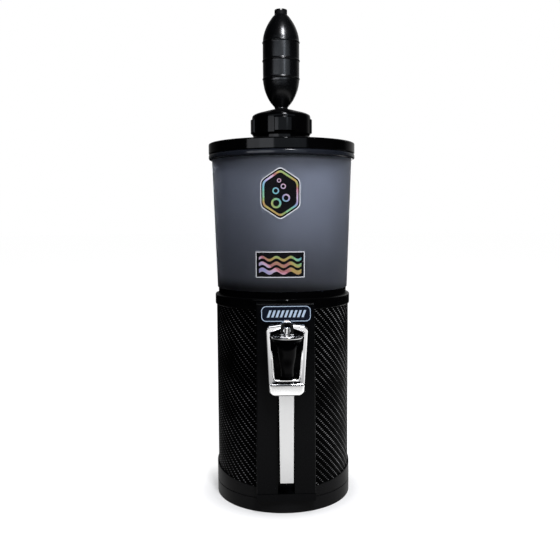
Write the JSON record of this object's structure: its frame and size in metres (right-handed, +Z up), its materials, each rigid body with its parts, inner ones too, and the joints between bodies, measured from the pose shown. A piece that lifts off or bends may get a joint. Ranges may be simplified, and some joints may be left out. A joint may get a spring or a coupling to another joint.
{
  "type": "portable drink dispenser",
  "caption": "Countertop drink dispenser: a lidded tank on a round pedestal with a push-lever tap in front and a squeeze-bulb air pump on its screw cap.",
  "frame": {"origin": "on the table under the tank's axis", "axes": "+Z up along the tank's axis, -Y towards the tap, +X to the right seen from the tap"},
  "size_m": [0.1608, 0.2028, 0.535],
  "materials": {
    "satin_black": "satin",
    "gloss_black": "gloss",
    "inner_black": "matt",
    "carbon_film": "twill film",
    "smoke_tank": "frosted",
    "black_rubber": "satin",
    "white_plastic": "moulded",
    "stub_black": "moulded",
    "bright_chrome": "polished",
    "brushed_blade": "brushed along its length",
    "plain_steel": "plain",
    "clear_hose": "clear"
  },
  "bodies": {
    "base": {"base_plate": "satin_black", "foot_ring": "satin_black", "cover_screws": "plain_steel", "base_shell": "inner_black", "carbon_wrap": "carbon_film", "tank_collar": "gloss_black", "tank": "smoke_tank", "tank_rim": "gloss_black", "outlet_fitting": "white_plastic", "outlet_gasket": "black_rubber", "outlet_nut": "white_plastic", "feed_hose": "clear_hose", "hose_clamps": "plain_steel", "front_panel": "satin_black", "panel_screws": "plain_steel", "tap_body": "gloss_black", "tap_gasket": "black_rubber", "tap_nut": "white_plastic", "tap_bonnet": "bright_chrome", "stem_seal": "black_rubber", "return_spring": "plain_steel"},
    "stem": {"valve_stem": "bright_chrome", "seat_cup": "black_rubber", "lever_pin": "plain_steel"},
    "lever": {"lever_yoke": "bright_chrome", "lever_blade": "brushed_blade", "blade_screws": "plain_steel"},
    "lid": {"lid": "gloss_black", "lid_seal": "black_rubber"},
    "cap_ring": {"cap_seal": "black_rubber"},
    "cap": {"screw_cap": "gloss_black", "pump_spigot": "white_plastic", "spigot_nut": "white_plastic", "pump_bulb": "black_rubber", "inlet_valve": "stub_black"},
    "outlet_flap": {"outlet_disc": "black_rubber"},
    "inlet_flap": {"inlet_disc": "black_rubber"}
  },
  "joints": [
    {"name": "stem_lift", "type": "slide", "parent": "base", "child": "stem", "axis": [0, 0, 1], "range_m": [0, 0.00182], "stiffness_N_per_m": 600, "springref_m": -0.004, "deforming": ["return_spring"]},
    {"name": "lever_push", "type": "hinge", "parent": "stem", "child": "lever", "pos_m": [0, -0.107, 0.2], "axis": [1, 0, 0], "range_deg": [0, 8]},
    {"name": "lid_lift", "type": "slide", "parent": "base", "child": "lid", "axis": [0, 0, 1], "range_m": [0, 0.06]},
    {"name": "cap_rise", "type": "slide", "parent": "lid", "child": "cap_ring", "axis": [0, 0, 1], "range_m": [0, 0.00501]},
    {"name": "cap_turn", "type": "hinge", "parent": "cap_ring", "child": "cap", "pos_m": [0, 0, 0.4], "axis": [0, 0, 1], "range_deg": [0, 450]},
    {"name": "outlet_open", "type": "slide", "parent": "cap", "child": "outlet_flap", "axis": [0, 0, -1], "range_m": [0, 0.0015], "stiffness_N_per_m": 20, "springref_m": -0.001},
    {"name": "inlet_open", "type": "slide", "parent": "cap", "child": "inlet_flap", "axis": [0, 0, -1], "range_m": [0, 0.0015], "stiffness_N_per_m": 20, "springref_m": -0.001}
  ],
  "couplings": [
    {"joint": "stem_lift", "follows": "lever_push", "m_per_rad": 0.013},
    {"joint": "cap_rise", "follows": "cap_turn", "m_per_rad": 0.00063662}
  ]
}
